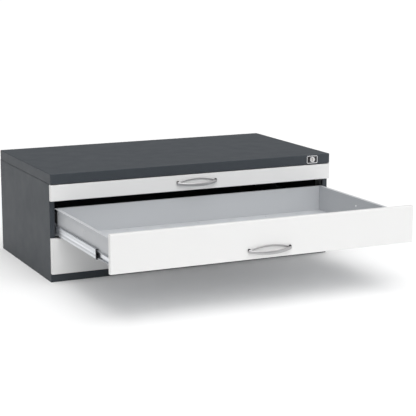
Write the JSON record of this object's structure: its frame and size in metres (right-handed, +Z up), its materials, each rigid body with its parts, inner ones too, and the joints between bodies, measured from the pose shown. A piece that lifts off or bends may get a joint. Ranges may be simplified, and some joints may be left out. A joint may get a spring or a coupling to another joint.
{
  "type": "flat file cabinet",
  "caption": "Low steel flat file for large drawings: folded carcass, pan cover, full-width drawers with bow handles on telescopic ball slides, and a central lock; the middle drawer is open.",
  "frame": {"origin": "on the floor, at the middle of the carcass's footprint, under the centre foot", "axes": "+X to the right seen from the front, drawers open towards -Y, +Z up"},
  "size_m": [1.2, 1.306, 0.42],
  "materials": {
    "carcass_paint": "anthracite grey powder coat, fine texture, satin",
    "front_paint": "pure white powder coat, fine texture, satin",
    "tray_paint": "light grey powder coat, satin",
    "zinc_steel": "bright zinc plated, rolled",
    "post_steel": "galvanised",
    "black_plastic": "moulded, black",
    "foot_plastic": "moulded, black",
    "handle_aluminium": "satin silver",
    "lock_chrome": "polished chrome",
    "lock_plug_steel": "satin nickel",
    "lock_steel": "zinc plated"
  },
  "bodies": {
    "root": {"left_side_panel": "carcass_paint", "right_side_panel": "carcass_paint", "back_panel": "carcass_paint", "top_cover": "carcass_paint", "base_pan": "carcass_paint", "plinth_bar": "carcass_paint", "levelling_feet": "foot_plastic", "left_front_post": "post_steel", "left_rear_post": "post_steel", "right_front_post": "post_steel", "right_rear_post": "post_steel", "lock_housing": "lock_chrome", "drawer_1_left_slide_outer": "zinc_steel", "drawer_1_right_slide_outer": "zinc_steel", "drawer_2_left_slide_outer": "zinc_steel", "drawer_2_right_slide_outer": "zinc_steel", "drawer_3_left_slide_outer": "zinc_steel", "drawer_3_right_slide_outer": "zinc_steel"},
    "lock": {"lock_plug": "lock_plug_steel", "lock_cam": "lock_steel"},
    "lock_bar": {"lock_bar": "lock_steel"},
    "drawer_1": {"drawer_1_front_pan": "front_paint", "drawer_1_front_liner": "front_paint", "drawer_1_floor": "tray_paint", "drawer_1_left_side": "tray_paint", "drawer_1_right_side": "tray_paint", "drawer_1_rear_wall": "tray_paint", "drawer_1_handle": "handle_aluminium", "drawer_1_left_slide_inner": "zinc_steel", "drawer_1_right_slide_inner": "zinc_steel"},
    "drawer_1_left_middle": {"drawer_1_left_slide_middle": "zinc_steel", "drawer_1_left_slide_retainer": "black_plastic"},
    "drawer_1_right_middle": {"drawer_1_right_slide_middle": "zinc_steel", "drawer_1_right_slide_retainer": "black_plastic"},
    "drawer_2": {"drawer_2_front_pan": "front_paint", "drawer_2_front_liner": "front_paint", "drawer_2_floor": "tray_paint", "drawer_2_left_side": "tray_paint", "drawer_2_right_side": "tray_paint", "drawer_2_rear_wall": "tray_paint", "drawer_2_handle": "handle_aluminium", "drawer_2_left_slide_inner": "zinc_steel", "drawer_2_right_slide_inner": "zinc_steel"},
    "drawer_2_left_middle": {"drawer_2_left_slide_middle": "zinc_steel", "drawer_2_left_slide_retainer": "black_plastic"},
    "drawer_2_right_middle": {"drawer_2_right_slide_middle": "zinc_steel", "drawer_2_right_slide_retainer": "black_plastic"},
    "drawer_3": {"drawer_3_front_pan": "front_paint", "drawer_3_front_liner": "front_paint", "drawer_3_floor": "tray_paint", "drawer_3_left_side": "tray_paint", "drawer_3_right_side": "tray_paint", "drawer_3_rear_wall": "tray_paint", "drawer_3_handle": "handle_aluminium", "drawer_3_left_slide_inner": "zinc_steel", "drawer_3_right_slide_inner": "zinc_steel"},
    "drawer_3_left_middle": {"drawer_3_left_slide_middle": "zinc_steel", "drawer_3_left_slide_retainer": "black_plastic"},
    "drawer_3_right_middle": {"drawer_3_right_slide_middle": "zinc_steel", "drawer_3_right_slide_retainer": "black_plastic"}
  },
  "joints": [
    {"name": "drawer_1_slide", "type": "slide", "parent": "root", "child": "drawer_1", "axis": [0, -1, 0], "range_m": [0, 0.62]},
    {"name": "drawer_1_left_middle_slide", "type": "slide", "parent": "root", "child": "drawer_1_left_middle", "axis": [0, -1, 0], "range_m": [0, 0.4465]},
    {"name": "drawer_1_right_middle_slide", "type": "slide", "parent": "root", "child": "drawer_1_right_middle", "axis": [0, -1, 0], "range_m": [0, 0.4465]},
    {"name": "drawer_2_slide", "type": "slide", "parent": "root", "child": "drawer_2", "axis": [0, -1, 0], "range_m": [-0.62, 0]},
    {"name": "drawer_2_left_middle_slide", "type": "slide", "parent": "root", "child": "drawer_2_left_middle", "axis": [0, -1, 0], "range_m": [-0.4465, 0]},
    {"name": "drawer_2_right_middle_slide", "type": "slide", "parent": "root", "child": "drawer_2_right_middle", "axis": [0, -1, 0], "range_m": [-0.4465, 0]},
    {"name": "drawer_3_slide", "type": "slide", "parent": "root", "child": "drawer_3", "axis": [0, -1, 0], "range_m": [0, 0.62]},
    {"name": "drawer_3_left_middle_slide", "type": "slide", "parent": "root", "child": "drawer_3_left_middle", "axis": [0, -1, 0], "range_m": [0, 0.4465]},
    {"name": "drawer_3_right_middle_slide", "type": "slide", "parent": "root", "child": "drawer_3_right_middle", "axis": [0, -1, 0], "range_m": [0, 0.4465]},
    {"name": "lock_turn", "type": "hinge", "parent": "root", "child": "lock", "pos_m": [0.517, -0.33, 0.4005], "axis": [0, -1, 0], "range_deg": [0, 90.01]},
    {"name": "lock_bar_slide", "type": "slide", "parent": "root", "child": "lock_bar", "axis": [-1, 0, 0], "range_m": [0, 0.008]}
  ],
  "couplings": [
    {"joint": "drawer_1_left_middle_slide", "follows": "drawer_1_slide", "ratio": 0.72},
    {"joint": "drawer_1_right_middle_slide", "follows": "drawer_1_slide", "ratio": 0.72},
    {"joint": "drawer_2_left_middle_slide", "follows": "drawer_2_slide", "ratio": 0.72},
    {"joint": "drawer_2_right_middle_slide", "follows": "drawer_2_slide", "ratio": 0.72},
    {"joint": "drawer_3_left_middle_slide", "follows": "drawer_3_slide", "ratio": 0.72},
    {"joint": "drawer_3_right_middle_slide", "follows": "drawer_3_slide", "ratio": 0.72},
    {"joint": "lock_turn", "follows": "lock_bar_slide", "rad_per_m": 196.35}
  ]
}
